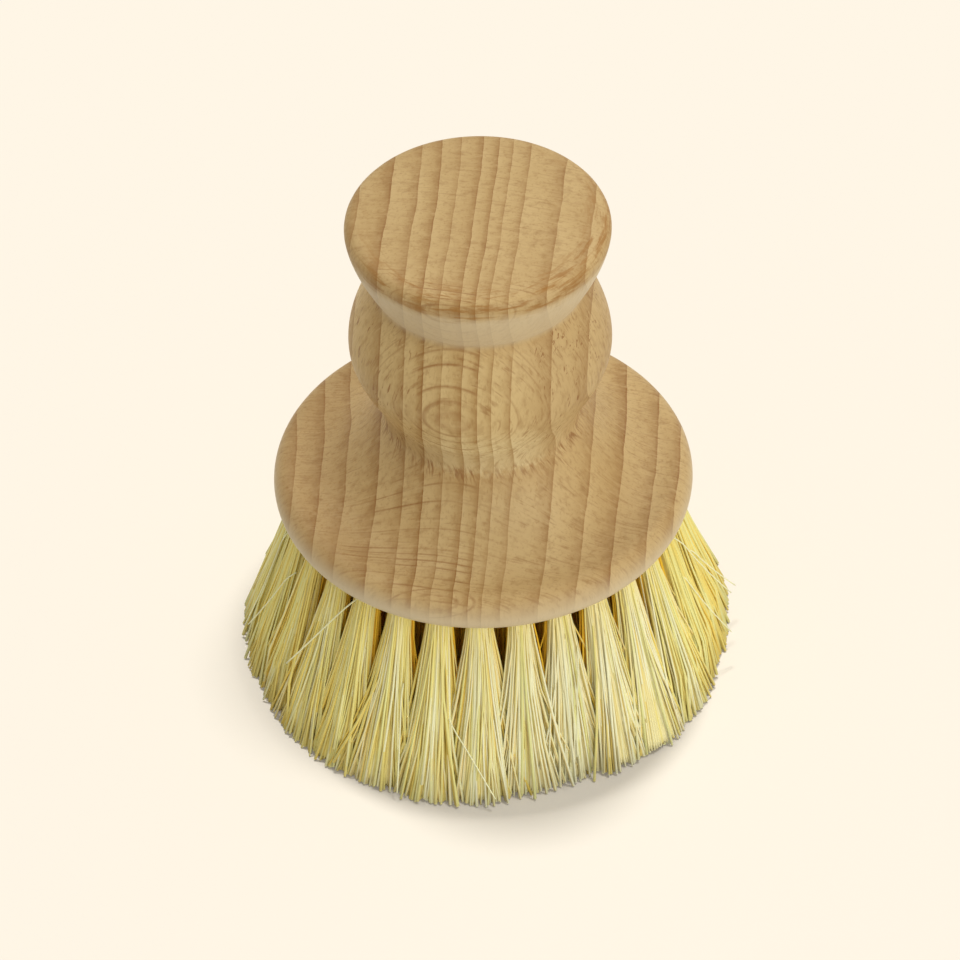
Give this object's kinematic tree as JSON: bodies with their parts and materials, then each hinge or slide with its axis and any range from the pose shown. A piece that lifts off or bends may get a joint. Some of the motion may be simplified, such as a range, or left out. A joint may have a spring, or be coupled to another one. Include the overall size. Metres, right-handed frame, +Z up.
{
  "type": "dish brush",
  "caption": "Palm-size round dish brush: a turned beech block with a domed knob, finger groove, bead and waist over a disc filled with splayed plant-fibre tufts.",
  "frame": {"origin": "on the turning axis, at the level of the trimmed fibre tips that the brush stands on", "axes": "+Z up the turning axis to the knob, +X to the right as seen from the front, -Y towards the front"},
  "size_m": [0.0764, 0.0764, 0.088],
  "materials": {
    "beech": "fine-sanded and oiled, satin",
    "fibre": "stiff pale yellow plant fibre, trimmed"
  },
  "bodies": {
    "root": {"turned_beech_block": "beech", "outer_tuft_01": "fibre", "outer_tuft_02": "fibre", "outer_tuft_03": "fibre", "outer_tuft_04": "fibre", "outer_tuft_05": "fibre", "outer_tuft_06": "fibre", "outer_tuft_07": "fibre", "outer_tuft_08": "fibre", "outer_tuft_09": "fibre", "outer_tuft_10": "fibre", "outer_tuft_11": "fibre", "outer_tuft_12": "fibre", "outer_tuft_13": "fibre", "outer_tuft_14": "fibre", "outer_tuft_15": "fibre", "outer_tuft_16": "fibre", "outer_tuft_17": "fibre", "outer_tuft_18": "fibre", "outer_tuft_19": "fibre", "outer_tuft_20": "fibre", "outer_tuft_21": "fibre", "outer_tuft_22": "fibre", "outer_tuft_23": "fibre", "outer_tuft_24": "fibre", "outer_tuft_25": "fibre", "outer_tuft_26": "fibre", "outer_tuft_27": "fibre", "outer_tuft_28": "fibre", "middle_tuft_01": "fibre", "middle_tuft_02": "fibre", "middle_tuft_03": "fibre", "middle_tuft_04": "fibre", "middle_tuft_05": "fibre", "middle_tuft_06": "fibre", "middle_tuft_07": "fibre", "middle_tuft_08": "fibre", "middle_tuft_09": "fibre", "middle_tuft_10": "fibre", "middle_tuft_11": "fibre", "middle_tuft_12": "fibre", "middle_tuft_13": "fibre", "middle_tuft_14": "fibre", "middle_tuft_15": "fibre", "middle_tuft_16": "fibre", "middle_tuft_17": "fibre", "middle_tuft_18": "fibre", "inner_tuft_01": "fibre", "inner_tuft_02": "fibre", "inner_tuft_03": "fibre", "inner_tuft_04": "fibre", "inner_tuft_05": "fibre", "inner_tuft_06": "fibre", "inner_tuft_07": "fibre", "inner_tuft_08": "fibre", "centre_tuft": "fibre"}
  },
  "joints": []
}
